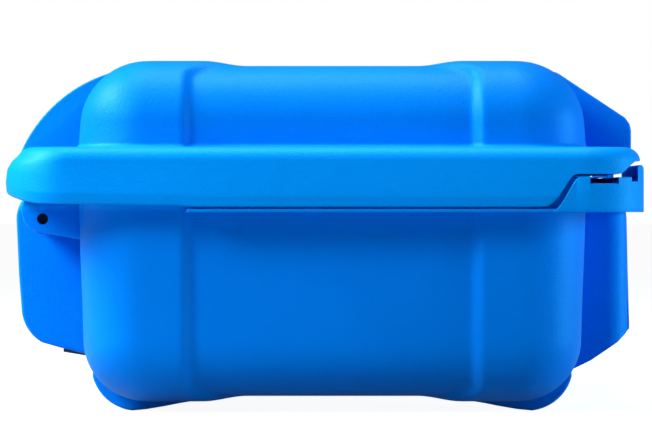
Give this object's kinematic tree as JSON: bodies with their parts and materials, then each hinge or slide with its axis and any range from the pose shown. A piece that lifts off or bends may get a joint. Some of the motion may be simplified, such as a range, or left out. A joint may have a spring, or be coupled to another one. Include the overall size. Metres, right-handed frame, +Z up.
{
  "type": "protective carry case",
  "caption": "Small hard-shell waterproof carry case, foam-lined, with a hinged lid and a front two-part draw latch.",
  "frame": {"origin": "on the standing surface, under the middle of the case's outline", "axes": "+X along the case to the right of someone facing the latch, -Y towards the latch, +Y towards the hinge, +Z up"},
  "size_m": [0.221, 0.1728, 0.0957],
  "materials": {
    "shell_plastic": "fine moulded texture, satin",
    "latch_plastic": "fine moulded texture, satin",
    "pin_steel": "drawn",
    "spring_steel": "drawn wire",
    "gasket_rubber": "matte",
    "pad_rubber": "matte",
    "valve_plastic": "satin",
    "membrane": "matte",
    "foam": "open-cell foam"
  },
  "bodies": {
    "base": {"base_shell": "shell_plastic", "left_hinge_pin": "pin_steel", "right_hinge_pin": "pin_steel", "left_latch_pivot": "pin_steel", "right_latch_pivot": "pin_steel", "left_latch_spring": "spring_steel", "right_latch_spring": "spring_steel", "left_rear_pad": "pad_rubber", "right_rear_pad": "pad_rubber", "valve_body": "valve_plastic", "valve_seal": "gasket_rubber", "valve_membrane": "membrane", "valve_cap": "valve_plastic", "valve_nut": "valve_plastic", "base_foam": "foam", "base_pad": "foam"},
    "lid": {"lid_shell": "shell_plastic", "lid_gasket": "gasket_rubber", "lid_foam": "foam"},
    "lever": {"latch_lever": "latch_plastic", "claw_pin": "pin_steel"},
    "claw": {"latch_claw": "latch_plastic"}
  },
  "joints": [
    {"name": "lid_hinge", "type": "hinge", "parent": "base", "child": "lid", "pos_m": [0, 0.077, 0.0526], "axis": [-1, 0, 0], "range_deg": [0, 105]},
    {"name": "lever_pivot", "type": "hinge", "parent": "base", "child": "lever", "pos_m": [0, -0.0785, 0.0602], "axis": [-1, 0, 0], "range_deg": [-14, 86], "stiffness_Nm_per_rad": 0.02},
    {"name": "claw_pivot", "type": "hinge", "parent": "lever", "child": "claw", "pos_m": [0, -0.08029, 0.04931], "axis": [-1, 0, 0], "range_deg": [-86, 14]}
  ],
  "couplings": [
    {"joint": "claw_pivot", "follows": "lever_pivot", "ratio": -1}
  ]
}
